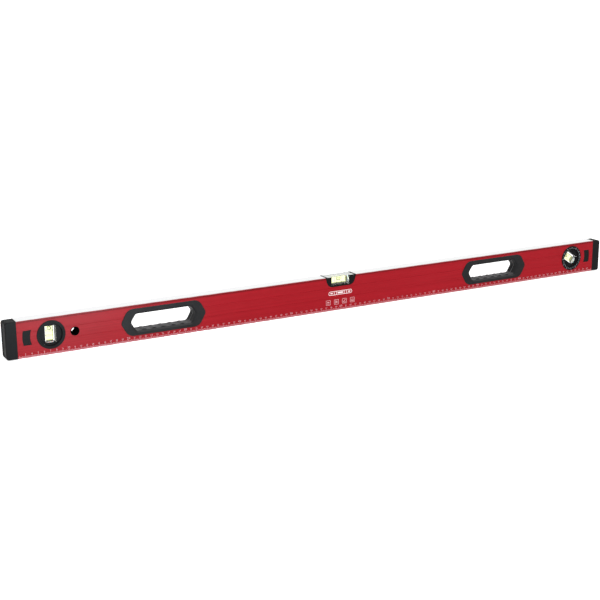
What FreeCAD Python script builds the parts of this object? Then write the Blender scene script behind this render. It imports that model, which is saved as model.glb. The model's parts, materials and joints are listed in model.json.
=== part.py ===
"""Box-section spirit level with three vials, two hand grips and a hole to hang it by.

Millimetres. +X runs along the level towards the vial that turns, +Z is up, and the side with
the scale faces -Y. The origin is the middle of the bottom working face. "Ahead" is a distance
from the middle plane towards the front, so a point that is 5 ahead has y = -5.
"""
import FreeCAD, Part
import os
import re
import Sketcher
from FreeCAD import Placement, Rotation, Vector

ALONG = Vector(1, 0, 0)
ACROSS = Vector(0, 1, 0)
UP = Vector(0, 0, 1)

# a difference this small, in place or in direction, counts as none
CLOSE = 0.01

DIMENSIONS = {
    # the extruded frame
    "level_length": 1200,
    "level_depth": 24,
    "level_height": 62,
    "side_wall": 1.8,
    "face_wall": 3,
    "edge_bevel": 0.8,
    "void_bevel": 1.5,
    "groove_depth": 0.25,
    "groove_margin": 8,
    "groove_spread": 9,
    "feature_height": 33,
    "rim_proud": 1,
    "rim_bevel": 0.4,
    "push_fit": 0.1,
    "cut_margin": 1,
    # end caps and their latch windows
    "cap_length": 18,
    "cap_inset": 0.75,
    "cap_skin": 3,
    "cap_wall": 1.8,
    "cap_corner": 1.5,
    "cap_nose": 4.2,
    "cap_panel_margin": 5.5,
    "cap_panel_depth": 0.6,
    "plug_length": 26,
    "tongue_half": 14,
    "tongue_slot": 1.5,
    "latch_inner": 33.4,
    "latch_outer": 46,
    "latch_half": 12,
    "latch_gap": 0.2,
    "latch_recess": 0.3,
    # hand grips
    "grip_inset": 263,
    "grip_rim_length": 150.4,
    "grip_rim_height": 45.2,
    "grip_rim_point": 12.5,
    "grip_rim_corner": 16,
    "grip_rim_tip": 8,
    "grip_lap": 3,
    "grip_hole_length": 115,
    "grip_hole_height": 28.7,
    "grip_hole_point": 9,
    "grip_hole_drop": 1,
    "grip_hole_corner": 6,
    "grip_bevel": 2.4,
    "ridge_count": 5,
    "ridge_pitch": 17,
    "ridge_half": 5,
    "ridge_rise": 1.3,
    "ridge_setback": 3.5,
    # hanging hole
    "hang_inset": 111.2,
    "hang_radius": 6.3,
    "hang_rim": 7.4,
    "hang_sleeve": 7,
    "hang_proud": 0.5,
    # end vials
    "vial_inset": 72.3,
    "vial_opening": 20.2,
    "plumb_rim": 23.2,
    "turn_rim": 24,
    "dish_radius": 18.6,
    "dish_floor": 9.5,
    "web": 1,
    "shell_wall": 1.9,
    "block_length": 28.6,
    "block_width": 19,
    "block_lip": 0.5,
    "surround_length": 30.4,
    "surround_width": 20.8,
    "boss_place": 13.4,
    "boss_radius": 2.3,
    "tube_radius": 6,
    "turn_tube_half": 9.4,
    "turn_tube_middle": -2.6,
    "plumb_tube_half": 11.4,
    "plumb_tube_middle": -0.6,
    "bubble_radius": 3.6,
    "bubble_half": 3.4,
    "end_clearance": 0.6,
    # the vial that turns
    "turn_tilt": 34,
    "bearing_radius": 18.9,
    "running_fit": 0.06,
    "turn_lip": 18.2,
    "turn_lip_back": 11,
    "turn_face": 10.9,
    "nub_half_length": 3.2,
    "nub_half_width": 1.1,
    "nub_rise": 0.9,
    # the vial in the top edge
    "notch_top": 63,
    "notch_bottom": 52,
    "notch_corner": 12,
    "notch_floor": 43.7,
    "saddle_recess": 0.3,
    "saddle_seat": 44.9,
    "saddle_lip": 1.4,
    "saddle_root_half": 20,
    "saddle_root_low": 35.5,
    "saddle_screw_place": 14,
    "saddle_screw_height": 39.5,
    "reflector": 0.4,
    "top_block_length": 37.8,
    "top_block_depth": 21.6,
    "top_tube_radius": 5.5,
    "top_tube_half": 14.6,
    "top_tube_middle": -0.8,
    "top_bubble_radius": 2.5,
    "top_bubble_half": 4.5,
    "top_bubble_lift": 2.3,
    # what all the vials share
    "liquid_gap": 0.2,
    "bubble_gap": 0.2,
    "bubble_end_share": 0.8,
    "line_width": 0.5,
    "line_gap": 0.6,
    "plug_bore": 1.2,
    # self-tapping screws
    "screw_radius": 1,
    "screw_clearance": 1.2,
    "head_radius": 2,
    "head_height": 1,
    "slot_width": 0.5,
    "slot_depth": 0.6,
    "screw_length": 13,
    "pilot_depth": 6,
}

doc = FreeCAD.newDocument("SpiritLevel")
sheet = doc.addObject("Spreadsheet::Sheet", "Dimensions")
for row, (alias, size) in enumerate(DIMENSIONS.items(), start=1):
    sheet.set(f"A{row}", alias)
    sheet.set(f"B{row}", str(size))
    sheet.setAlias(f"B{row}", alias)
doc.recompute()


# ---------------------------------------------------------------- shared construction steps

def formula(text):
    """Point each dimension that a formula names at its cell in the sheet."""
    return re.sub(r"[a-z]\w*", lambda word: "Dimensions." + word.group(), str(text))


def value(text):
    """Work a formula out now."""
    return float(sheet.evalExpression(formula(text)))


def bind(item, prop, text):
    """Drive a property of an object by a formula."""
    item.setExpression(prop, formula(text))


def place(item, x="0", z="0", turn="0", axis=ACROSS, facing_back=False):
    """Put a piece at its site; a piece that faces back is first turned half round."""
    half_turn = Rotation(UP, 180 if facing_back else 0)
    item.Placement = Placement(Vector(), Rotation(axis, value(turn)) * half_turn)
    bind(item, "Placement.Base.x", x)
    bind(item, "Placement.Base.z", z)


def new_body(name):
    body = doc.addObject("PartDesign::Body", name)
    body.Label = name
    return body


def new_sketch(body, name, plane, offset="0"):
    sketch = body.newObject("Sketcher::SketchObject", f"{body.Name}_{name}_sketch")
    support = next(item for item in body.Origin.OriginFeatures if item.Role == plane)
    sketch.AttachmentSupport = (support, [""])
    sketch.MapMode = "FlatFace"
    bind(sketch, "AttachmentOffset.Base.z", offset)
    return sketch


def new_feature(body, kind, name, sketch):
    feature = body.newObject("PartDesign::" + kind, f"{body.Name}_{name}")
    feature.Profile = sketch
    return feature


def pin_point(sketch, edge, end, across, up):
    """Hold one point of a sketch at the place given by two formulas."""
    for kind, text in (("DistanceX", across), ("DistanceY", up)):
        index = sketch.addConstraint(Sketcher.Constraint(kind, edge, end, value(text)))
        sketch.setExpression(f"Constraints[{index}]", formula(text))


def draw_outline(sketch, corners):
    """Draw a closed straight-sided outline; each corner is a pair of formulas."""
    first = sketch.GeometryCount
    points = [Vector(value(across), value(up), 0) for across, up in corners]
    for start, end in zip(points, points[1:] + points[:1]):
        sketch.addGeometry(Part.LineSegment(start, end))
    for index, (across, up) in enumerate(corners):
        edge = first + index
        following = first + (index + 1) % len(corners)
        sketch.addConstraint(Sketcher.Constraint("Coincident", edge, 2, following, 1))
        pin_point(sketch, edge, 1, across, up)


def draw_rectangle(sketch, left, low, right, high):
    draw_outline(sketch, [(left, low), (right, low), (right, high), (left, high)])


def draw_circle(sketch, across, up, radius):
    centre = Vector(value(across), value(up), 0)
    edge = sketch.addGeometry(Part.Circle(centre, UP, value(radius)))
    pin_point(sketch, edge, 3, across, up)
    index = sketch.addConstraint(Sketcher.Constraint("Radius", edge, value(radius)))
    sketch.setExpression(f"Constraints[{index}]", formula(radius))


def draw_sector(sketch, centre, up, side, inner, outer, half):
    """Draw a piece of a ring that lies to one side of its centre and has level ends."""
    middle = Vector(value(centre), value(up), 0)
    edges = []
    for radius in (inner, outer):
        reach = (value(radius) ** 2 - value(half) ** 2) ** 0.5
        low = middle + Vector(side * reach, -value(half), 0)
        far = middle + Vector(side * value(radius), 0, 0)
        high = middle + Vector(side * reach, value(half), 0)
        edges.append(sketch.addGeometry(Part.ArcOfCircle(low, far, high)))
        index = sketch.addConstraint(Sketcher.Constraint("Radius", edges[-1], value(radius)))
        sketch.setExpression(f"Constraints[{index}]", formula(radius))
        pin_point(sketch, edges[-1], 3, centre, up)
    low_end, high_end = (1, 2) if side > 0 else (2, 1)
    for end, sign in ((low_end, "-"), (high_end, "+")):
        level = f"({up}) {sign} ({half})"
        for edge in edges:
            index = sketch.addConstraint(Sketcher.Constraint("DistanceY", edge, end, value(level)))
            sketch.setExpression(f"Constraints[{index}]", formula(level))
        ends = [sketch.getPoint(edge, end) for edge in edges]
        line = sketch.addGeometry(Part.LineSegment(ends[0], ends[1]))
        for line_end, edge in enumerate(edges, start=1):
            sketch.addConstraint(Sketcher.Constraint("Coincident", line, line_end, edge, end))


def draw_bump(sketch, across, up, half, rise):
    """Draw a low round bump that stands on a level line."""
    radius = f"(({half}) ^ 2 + ({rise}) ^ 2) / (2 * ({rise}))"
    left = Vector(value(across) - value(half), value(up), 0)
    crest = Vector(value(across), value(up) + value(rise), 0)
    right = Vector(value(across) + value(half), value(up), 0)
    arc = sketch.addGeometry(Part.ArcOfCircle(right, crest, left))
    line = sketch.addGeometry(Part.LineSegment(left, right))
    sketch.addConstraint(Sketcher.Constraint("Coincident", arc, 1, line, 2))
    sketch.addConstraint(Sketcher.Constraint("Coincident", arc, 2, line, 1))
    pin_point(sketch, line, 1, f"({across}) - ({half})", up)
    pin_point(sketch, line, 2, f"({across}) + ({half})", up)
    index = sketch.addConstraint(Sketcher.Constraint("Radius", arc, value(radius)))
    sketch.setExpression(f"Constraints[{index}]", formula(radius))


def front_view(body, kind, name, draw, ahead, behind):
    """Pad or pocket what draw() puts in the front view, from one distance ahead back to another."""
    sketch = new_sketch(body, name, "XZ_Plane", ahead)
    draw(sketch)
    feature = new_feature(body, kind, name, sketch)
    feature.Reversed = kind == "Pad"
    bind(feature, "Length", f"({ahead}) - ({behind})")
    doc.recompute()
    return feature


def end_view(body, kind, name, draw, start, length, outward=True):
    """Pad or pocket what draw() puts in the end view at start, towards +X or towards -X."""
    sketch = new_sketch(body, name, "YZ_Plane", start)
    draw(sketch)
    feature = new_feature(body, kind, name, sketch)
    feature.Reversed = outward == (kind == "Pocket")
    bind(feature, "Length", length)
    doc.recompute()
    return feature


def turn(body, name, corners, axis):
    """Turn a half section about an axis of its sketch in the XY plane."""
    sketch = new_sketch(body, name, "XY_Plane")
    draw_outline(sketch, corners)
    feature = new_feature(body, "Revolution", name, sketch)
    feature.ReferenceAxis = (sketch, [axis])
    doc.recompute()
    return feature


def turn_from_front(body, name, corners):
    """Turn a half section, given as (radius, ahead) pairs, about the line through front and back."""
    return turn(body, name, [(radius, f"-({ahead})") for radius, ahead in corners], "V_Axis")


def dress(body, kind, name, size, chosen):
    """Fillet or chamfer the edges of a body's last feature that chosen() accepts."""
    base = body.Tip
    names = [f"Edge{index}" for index, edge in enumerate(base.Shape.Edges, start=1) if chosen(edge)]
    feature = body.newObject("PartDesign::" + kind, f"{body.Name}_{name}")
    feature.Base = (base, names)
    bind(feature, "Radius" if kind == "Fillet" else "Size", size)
    doc.recompute()
    return feature


def lies_at(edge, axis, place_on_axis):
    """True for an edge whose every point has the given coordinate along an axis."""
    box = edge.BoundBox
    low, high = (getattr(box, axis + end) for end in ("Min", "Max"))
    return abs(low - place_on_axis) < CLOSE and abs(high - place_on_axis) < CLOSE


def runs_along(edge, direction):
    """True for a straight edge parallel to a direction."""
    return edge.Curve.TypeId == "Part::GeomLine" and edge.Curve.Direction.cross(direction).Length < CLOSE


# ---------------------------------------------------------------- the extruded frame

HALF_LENGTH = "level_length / 2"
HALF_DEPTH = "level_depth / 2"
FRONT_FACE = f"{HALF_DEPTH} + rim_proud"
PAST_FRONT = f"{HALF_DEPTH} + cut_margin"
PAST_BACK = f"-{HALF_DEPTH} - cut_margin"


def frame_section():
    """Corners of the outer section: bevelled edges and fine grooves along both sides."""
    grooves = ("groove_margin", "feature_height - groove_spread",
               "feature_height + groove_spread", "level_height - groove_margin / 2")
    right_side = [(HALF_DEPTH, "edge_bevel")]
    for level in grooves:
        right_side.append((HALF_DEPTH, f"{level} - groove_depth"))
        right_side.append((f"{HALF_DEPTH} - groove_depth", level))
        right_side.append((HALF_DEPTH, f"{level} + groove_depth"))
    right_side.append((HALF_DEPTH, "level_height - edge_bevel"))
    right_side.append((f"{HALF_DEPTH} - edge_bevel", "level_height"))
    right_side.insert(0, (f"{HALF_DEPTH} - edge_bevel", "0"))
    left_side = [(f"-({across})", up) for across, up in reversed(right_side)]
    return right_side + left_side


def void_section(inset="0"):
    """Corners of the hollow inside the frame, drawn in by an inset."""
    half = f"{HALF_DEPTH} - side_wall - ({inset})"
    low = f"face_wall + {inset}"
    high = f"level_height - face_wall - ({inset})"
    right_side = [(f"{half} - void_bevel", low), (half, f"{low} + void_bevel"),
                  (half, f"{high} - void_bevel"), (f"{half} - void_bevel", high)]
    left_side = [(f"-({across})", up) for across, up in reversed(right_side)]
    return right_side + left_side


def pointed(length, height, point, centre="0", level="0", drop="0"):
    """Corners of a long opening with a point at each end, whose flats lie a drop lower."""
    half_length = f"({length}) / 2"
    low = f"{level} - {drop} - ({height}) / 2"
    high = f"{level} - {drop} + ({height}) / 2"
    return [(f"{centre} - {half_length}", level),
            (f"{centre} - {half_length} + {point}", low),
            (f"{centre} + {half_length} - ({point})", low),
            (f"{centre} + {half_length}", level),
            (f"{centre} + {half_length} - ({point})", high),
            (f"{centre} - {half_length} + {point}", high)]


def grip_seat(centre="0", level="0", clearance="0"):
    """Corners of the opening in the frame that a grip liner's sleeve fills."""
    length = f"grip_rim_length - 2 * grip_lap - 2 * ({clearance})"
    height = f"grip_rim_height - 2 * grip_lap - 2 * ({clearance})"
    return pointed(length, height, "grip_rim_point", centre, level)


def draw_frame_openings(sketch):
    """Everything that is cut through both sides of the frame."""
    for side in (-1, 1):
        vial = f"{side} * ({HALF_LENGTH} - vial_inset)"
        grip = f"{side} * ({HALF_LENGTH} - grip_inset)"
        draw_circle(sketch, vial, "feature_height", "vial_opening")
        draw_sector(sketch, vial, "feature_height", side, "latch_inner", "latch_outer", "latch_half")
        draw_outline(sketch, grip_seat(grip, "feature_height"))
    draw_circle(sketch, f"hang_inset - {HALF_LENGTH}", "feature_height", "hang_sleeve")
    above = "level_height + cut_margin"
    draw_outline(sketch, [
        ("-notch_bottom / 2", "notch_floor"), ("notch_bottom / 2", "notch_floor"),
        ("notch_top / 2", "level_height"), ("notch_top / 2", above),
        ("-notch_top / 2", above), ("-notch_top / 2", "level_height")])


def draw_saddle_holes(sketch, radius):
    for side in (-1, 1):
        draw_circle(sketch, f"{side} * saddle_screw_place", "saddle_screw_height", radius)


def at_notch_corner(edge):
    """True for an edge at either lower corner of the notch."""
    place = edge.CenterOfMass
    return (runs_along(edge, ACROSS) and abs(place.z - value("notch_floor")) < CLOSE
            and abs(abs(place.x) - value("notch_bottom / 2")) < CLOSE)


def make_frame_profile():
    body = new_body("frame_profile")
    sketch = new_sketch(body, "section", "YZ_Plane")
    draw_outline(sketch, frame_section())
    draw_outline(sketch, void_section())
    extrusion = new_feature(body, "Pad", "extrusion", sketch)
    extrusion.SideType = "Symmetric"
    bind(extrusion, "Length", "level_length - 2 * cap_length")
    front_view(body, "Pocket", "openings", draw_frame_openings, PAST_FRONT, PAST_BACK)
    dress(body, "Fillet", "notch_corners", "notch_corner", at_notch_corner)
    front_view(body, "Pocket", "screw_holes", lambda it: draw_saddle_holes(it, "screw_clearance"),
               "0", PAST_BACK)
    return body


# ---------------------------------------------------------------- end caps

def draw_cap_block(sketch):
    draw_rectangle(sketch, f"-{HALF_DEPTH}", "cap_inset", HALF_DEPTH, "level_height - cap_inset")


def draw_cap_panel(sketch):
    half = f"{HALF_DEPTH} - cap_panel_margin"
    draw_rectangle(sketch, f"-({half})", "cap_panel_margin", half, "level_height - cap_panel_margin")


def draw_latch(sketch):
    draw_sector(sketch, "cap_length - vial_inset", "feature_height", 1, "latch_inner + latch_gap",
                "latch_outer - latch_gap", "latch_half - latch_gap")


def draw_tongue_slots(sketch):
    """Slots above and below each latch tongue, so that it can be pressed in."""
    for sign in (-1, 1):
        near = f"feature_height + {sign} * tongue_half"
        far = f"feature_height + {sign} * (tongue_half + tongue_slot)"
        low, high = (near, far) if sign > 0 else (far, near)
        draw_rectangle(sketch, "-plug_length - cut_margin", low, "-cap_wall", high)


def make_end_cap(name, side):
    """A moulded cap: +X of its own frame points out of the frame's end."""
    body = new_body(name)
    end_view(body, "Pad", "block", draw_cap_block, "0", "cap_length")
    end = value("cap_length")
    dress(body, "Fillet", "nose", "cap_nose",
          lambda edge: lies_at(edge, "X", end) and runs_along(edge, ACROSS))
    dress(body, "Fillet", "corners", "cap_corner",
          lambda edge: not lies_at(edge, "X", 0) and not runs_along(edge, ACROSS))
    end_view(body, "Pad", "plug", lambda it: draw_outline(it, void_section("push_fit")),
             "0", "plug_length", outward=False)
    front_view(body, "Pad", "latches", draw_latch, f"{HALF_DEPTH} - latch_recess",
               f"latch_recess - {HALF_DEPTH}")
    end_view(body, "Pocket", "hollow", lambda it: draw_outline(it, void_section("(push_fit + cap_wall)")),
             "-plug_length", "plug_length + cap_length - cap_skin")
    front_view(body, "Pocket", "tongue_slots", draw_tongue_slots, PAST_FRONT, PAST_BACK)
    end_view(body, "Pocket", "panel", draw_cap_panel, "cap_length", "cap_panel_depth", outward=False)
    place(body, f"{side} * ({HALF_LENGTH} - cap_length)", facing_back=side < 0)


# ---------------------------------------------------------------- hand grips

def make_grip_liner(name, side, facing_back):
    """Half of a grip's lining: a rim on the frame's face and a sleeve to the middle plane."""
    body = new_body(name)
    rim = pointed("grip_rim_length", "grip_rim_height", "grip_rim_point")
    hole = pointed("grip_hole_length", "grip_hole_height", "grip_hole_point", drop="grip_hole_drop")

    def within_hole_height(edge):
        """True for an edge no further from the hole's middle than its upper and lower sides."""
        away = abs(edge.CenterOfMass.z + value("grip_hole_drop"))
        return away < value("grip_hole_height / 2") + CLOSE

    front_view(body, "Pad", "rim", lambda it: draw_outline(it, rim), FRONT_FACE, HALF_DEPTH)
    dress(body, "Fillet", "rim_tips", "grip_rim_tip",
          lambda edge: runs_along(edge, ACROSS) and lies_at(edge, "Z", 0))
    rim_side = value("grip_rim_height / 2")
    dress(body, "Fillet", "rim_corners", "grip_rim_corner",
          lambda edge: runs_along(edge, ACROSS) and abs(abs(edge.CenterOfMass.z) - rim_side) < CLOSE)
    front = value(f"-({FRONT_FACE})")
    dress(body, "Chamfer", "rim_edge", "rim_bevel", lambda edge: lies_at(edge, "Y", front))
    front_view(body, "Pad", "sleeve", lambda it: draw_outline(it, grip_seat(clearance="push_fit")),
               HALF_DEPTH, "0")
    front_view(body, "Pocket", "hole", lambda it: draw_outline(it, hole), f"{FRONT_FACE} + cut_margin",
               "-cut_margin")
    dress(body, "Fillet", "hole_corners", "grip_hole_corner",
          lambda edge: runs_along(edge, ACROSS) and within_hole_height(edge)
          and edge.Length > value(HALF_DEPTH) + CLOSE)
    dress(body, "Chamfer", "hole_edge", "grip_bevel",
          lambda edge: lies_at(edge, "Y", front) and within_hole_height(edge)
          and abs(edge.CenterOfMass.x) < value("grip_hole_length / 2"))
    ridge_span = "(ridge_count - 1) * ridge_pitch"
    ridge = front_view(body, "Pad", "ridge",
                       lambda it: draw_bump(it, f"-{ridge_span} / 2",
                                            "-grip_hole_drop - grip_hole_height / 2",
                                            "ridge_half", "ridge_rise"),
                       f"{HALF_DEPTH} - ridge_setback", "0")
    ridges = body.newObject("PartDesign::LinearPattern", f"{name}_ridges")
    ridges.Originals = [ridge]
    ridges.Direction = (ridge.Profile[0], ["H_Axis"])
    bind(ridges, "Occurrences", "ridge_count")
    bind(ridges, "Length", ridge_span)
    body.Tip = ridges
    place(body, f"{side} * ({HALF_LENGTH} - grip_inset)", "feature_height", facing_back=facing_back)


# ---------------------------------------------------------------- hanging hole

def make_hang_bush(name, facing_back):
    """Half of the hole's lining: a thin sleeve to the middle plane, with a low rim on the frame's face."""
    body = new_body(name)
    face = f"{HALF_DEPTH} + hang_proud"
    turn_from_front(body, "bush", [
        ("hang_radius", "0"), ("hang_sleeve - push_fit", "0"), ("hang_sleeve - push_fit", HALF_DEPTH),
        ("hang_rim", HALF_DEPTH), ("hang_rim", f"{face} - rim_bevel"),
        ("hang_rim - rim_bevel", face), ("hang_radius + rim_bevel", face),
        ("hang_radius", f"{face} - rim_bevel")])
    place(body, f"hang_inset - {HALF_LENGTH}", "feature_height", facing_back=facing_back)


# ---------------------------------------------------------------- holders of the two end vials

class Site:
    """Where a vial stands: its centre along the level, its height and its turn about the Y axis."""

    def __init__(self, x, z, turn):
        self.x = x
        self.z = z
        self.turn = turn

    def place(self, item, facing_back=False):
        place(item, self.x, self.z, self.turn, facing_back=facing_back)


PLUMB = Site(f"vial_inset - {HALF_LENGTH}", "feature_height", "90")
TURNING = Site(f"{HALF_LENGTH} - vial_inset", "feature_height", "turn_tilt")
TOP = Site("0", "(saddle_seat + reflector + level_height - saddle_recess) / 2", "0")


def draw_centred(sketch, length, height):
    draw_rectangle(sketch, f"-({length}) / 2", f"-({height}) / 2", f"({length}) / 2", f"({height}) / 2")


def draw_bosses(sketch, radius):
    for side in (-1, 1):
        draw_circle(sketch, "0", f"{side} * boss_place", radius)


def fit_out_shell(body, facing_back):
    """Add a half shell's block pocket, its screw bosses and their holes."""
    front_view(body, "Pad", "surround", lambda it: draw_centred(it, "surround_length", "surround_width"),
               "dish_floor - web", "0")
    front_view(body, "Pad", "bosses", lambda it: draw_bosses(it, "boss_radius"), "dish_floor - web", "0")
    front_view(body, "Pocket", "window",
               lambda it: draw_centred(it, "block_length - 2 * block_lip", "block_width - 2 * block_lip"),
               PAST_FRONT, "-cut_margin")
    front_view(body, "Pocket", "seat", lambda it: draw_centred(it, "block_length", "block_width"),
               "dish_floor - web", "-cut_margin")
    if facing_back:
        front_view(body, "Pocket", "screw_ways", lambda it: draw_bosses(it, "screw_clearance"),
                   PAST_FRONT, "-cut_margin")
        front_view(body, "Pocket", "head_seats", lambda it: draw_bosses(it, "head_radius + push_fit"),
                   PAST_FRONT, "dish_floor - head_height")
    else:
        front_view(body, "Pocket", "pilots", lambda it: draw_bosses(it, "screw_radius"),
                   "pilot_depth", "-cut_margin")


def make_plumb_shell(name, facing_back):
    """A fixed half shell with its own rim on the frame's face."""
    body = new_body(name)
    outer = "vial_opening - push_fit"
    inner = f"{outer} - shell_wall"
    turn_from_front(body, "cup", [
        ("0", "dish_floor - web"), (inner, "dish_floor - web"), (inner, "0"), (outer, "0"),
        (outer, HALF_DEPTH), ("plumb_rim", HALF_DEPTH), ("plumb_rim", f"{FRONT_FACE} - rim_bevel"),
        ("plumb_rim - rim_bevel", FRONT_FACE), ("dish_radius", FRONT_FACE),
        ("dish_radius - web", "dish_floor"), ("0", "dish_floor")])
    fit_out_shell(body, facing_back)
    PLUMB.place(body, facing_back)


def make_turning_ring(name, facing_back):
    """Half of the fixed ring that the rotor turns in; its lip keeps the rotor from coming out."""
    body = new_body(name)
    turn_from_front(body, "ring", [
        ("bearing_radius", "0"), ("vial_opening - push_fit", "0"), ("vial_opening - push_fit", HALF_DEPTH),
        ("turn_rim", HALF_DEPTH), ("turn_rim", f"{FRONT_FACE} - rim_bevel"),
        ("turn_rim - rim_bevel", FRONT_FACE), ("turn_lip + rim_bevel", FRONT_FACE),
        ("turn_lip", f"{FRONT_FACE} - rim_bevel"), ("turn_lip", "turn_lip_back"),
        ("bearing_radius", "turn_lip_back")])
    place(body, TURNING.x, TURNING.z, facing_back=facing_back)


def draw_nubs(sketch):
    for side in (-1, 1):
        level = f"{side} * boss_place"
        draw_rectangle(sketch, "-nub_half_length", f"{level} - nub_half_width",
                       "nub_half_length", f"{level} + nub_half_width")


def make_rotor_shell(name, facing_back):
    """A half shell that turns in the ring; the front one has nubs to turn it by."""
    body = new_body(name)
    outer = "bearing_radius - running_fit"
    inner = f"{outer} - shell_wall"
    turn_from_front(body, "cup", [
        ("0", "dish_floor - web"), (inner, "dish_floor - web"), (inner, "0"), (outer, "0"),
        (outer, "turn_face"), (f"{outer} - shell_wall / 2", "turn_face"),
        (f"{outer} - shell_wall + rim_bevel", "dish_floor"), ("0", "dish_floor")])
    fit_out_shell(body, facing_back)
    if not facing_back:
        front_view(body, "Pad", "nubs", draw_nubs, "dish_floor + nub_rise", "dish_floor")
    TURNING.place(body, facing_back)


# ---------------------------------------------------------------- vials

class Vial:
    """Sizes of one vial in its own frame: its tube lies along X, with the stopper at +X.

    The liquid fills the tube from one tube_half before tube_middle to one past it, and the
    stopper the rest. The bubble's place is measured from tube_middle.
    """

    def __init__(self, name, site, block, tube_radius, tube_half, tube_middle, bubble_radius,
                 bubble_half, bubble_place, bubble_lift, channel_half):
        self.name = name
        self.site = site
        self.block = block
        self.tube_radius = tube_radius
        self.tube_half = tube_half
        self.tube_middle = tube_middle
        self.bubble_radius = bubble_radius
        self.bubble_half = bubble_half
        self.bubble_place = bubble_place
        self.bubble_lift = bubble_lift
        self.channel_half = channel_half


def end_vial(name, site, tube_half, tube_middle):
    """A vial whose bubble rests near the closed end of its tube."""
    place = f"bubble_half + end_clearance - {tube_half}"
    return Vial(name, site, ("block_length", "2 * (dish_floor - web)", "block_width"), "tube_radius",
                tube_half, tube_middle, "bubble_radius", "bubble_half", place, "0",
                f"{tube_half} - end_clearance + bubble_gap")


def top_vial():
    """The barrel vial in the top edge, whose bubble rests in the middle."""
    height = "level_height - saddle_recess - saddle_seat - reflector"
    return Vial("centre_vial", TOP, ("top_block_length", "top_block_depth", height), "top_tube_radius",
                "top_tube_half", "top_tube_middle", "top_bubble_radius", "top_bubble_half", "0",
                "top_bubble_lift", "top_tube_half - bubble_gap")


def make_block(vial):
    """A clear block with a blind round tube drilled from its +X end."""
    body = new_body(vial.name + "_block")
    length, depth, height = vial.block
    front_view(body, "Pad", "block", lambda it: draw_centred(it, length, height),
               f"({depth}) / 2", f"-({depth}) / 2")
    end_view(body, "Pocket", "tube", lambda it: draw_circle(it, "0", "0", vial.tube_radius),
             f"({length}) / 2", f"({length}) / 2 - {vial.tube_middle} + {vial.tube_half}", outward=False)
    vial.site.place(body)


def make_stopper(vial):
    """The stopper that closes the tube, with a blind hole for pulling it out."""
    body = new_body(vial.name + "_stopper")
    end = f"({vial.block[0]}) / 2"
    wet_face = f"{vial.tube_middle} + {vial.tube_half}"
    bore_floor = f"({wet_face} + {end}) / 2"
    turn(body, "stopper", [
        (wet_face, "0"), (wet_face, vial.tube_radius), (end, vial.tube_radius),
        (end, "plug_bore"), (bore_floor, "plug_bore"), (bore_floor, "0")], "H_Axis")
    vial.site.place(body)


def make_liquid(vial):
    """The liquid, with the space that the bubble moves in."""
    body = new_body(vial.name + "_liquid")
    radius = f"{vial.tube_radius} - liquid_gap"
    ends = [f"{vial.tube_middle} {sign} {vial.tube_half}" for sign in "-+"]
    turn(body, "filling", [(ends[0], "0"), (ends[0], radius), (ends[1], radius), (ends[1], "0")], "H_Axis")
    end_view(body, "Pocket", "channel",
             lambda it: draw_circle(it, "0", vial.bubble_lift, f"{vial.bubble_radius} + bubble_gap"),
             f"{vial.tube_middle} + {vial.channel_half}", f"2 * ({vial.channel_half})", outward=False)
    vial.site.place(body)


def make_bubble(vial):
    """The bubble at rest; its round ends are modelled as large fillets."""
    body = new_body(vial.name + "_bubble")
    ends = [f"{vial.tube_middle} + ({vial.bubble_place}) {sign} {vial.bubble_half}" for sign in "-+"]
    end_view(body, "Pad", "bubble",
             lambda it: draw_circle(it, "0", vial.bubble_lift, vial.bubble_radius),
             ends[0], f"2 * {vial.bubble_half}")
    dress(body, "Fillet", "ends", f"{vial.bubble_radius} * bubble_end_share",
          lambda edge: any(lies_at(edge, "X", value(end)) for end in ends))
    vial.site.place(body)


def cylinder(name, radius, length, centre):
    """A plain cylinder along X, centred at a place on the X axis."""
    item = doc.addObject("Part::Cylinder", name)
    bind(item, "Radius", radius)
    bind(item, "Height", length)
    item.Placement = Placement(Vector(), Rotation(ACROSS, 90))
    bind(item, "Placement.Base.x", f"({centre}) - ({length}) / 2")
    return item


def make_lines(vial):
    """The two reading lines: thin rings on the tube's wall, just past the centred bubble."""
    name = vial.name + "_lines"
    rings = []
    for side in (-1, 1):
        centre = f"{vial.tube_middle} + {side} * ({vial.bubble_half} + line_gap)"
        ring = doc.addObject("Part::Cut", f"{name}_ring")
        ring.Base = cylinder(f"{name}_outside", vial.tube_radius, "line_width", centre)
        ring.Tool = cylinder(f"{name}_inside", f"{vial.tube_radius} - liquid_gap", "line_width", centre)
        rings.append(ring)
    lines = doc.addObject("Part::Compound", name)
    lines.Label = name
    lines.Links = rings
    vial.site.place(lines)


def make_vial(vial):
    make_block(vial)
    make_stopper(vial)
    make_liquid(vial)
    make_bubble(vial)
    make_lines(vial)


# ---------------------------------------------------------------- the vial in the top edge

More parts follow.
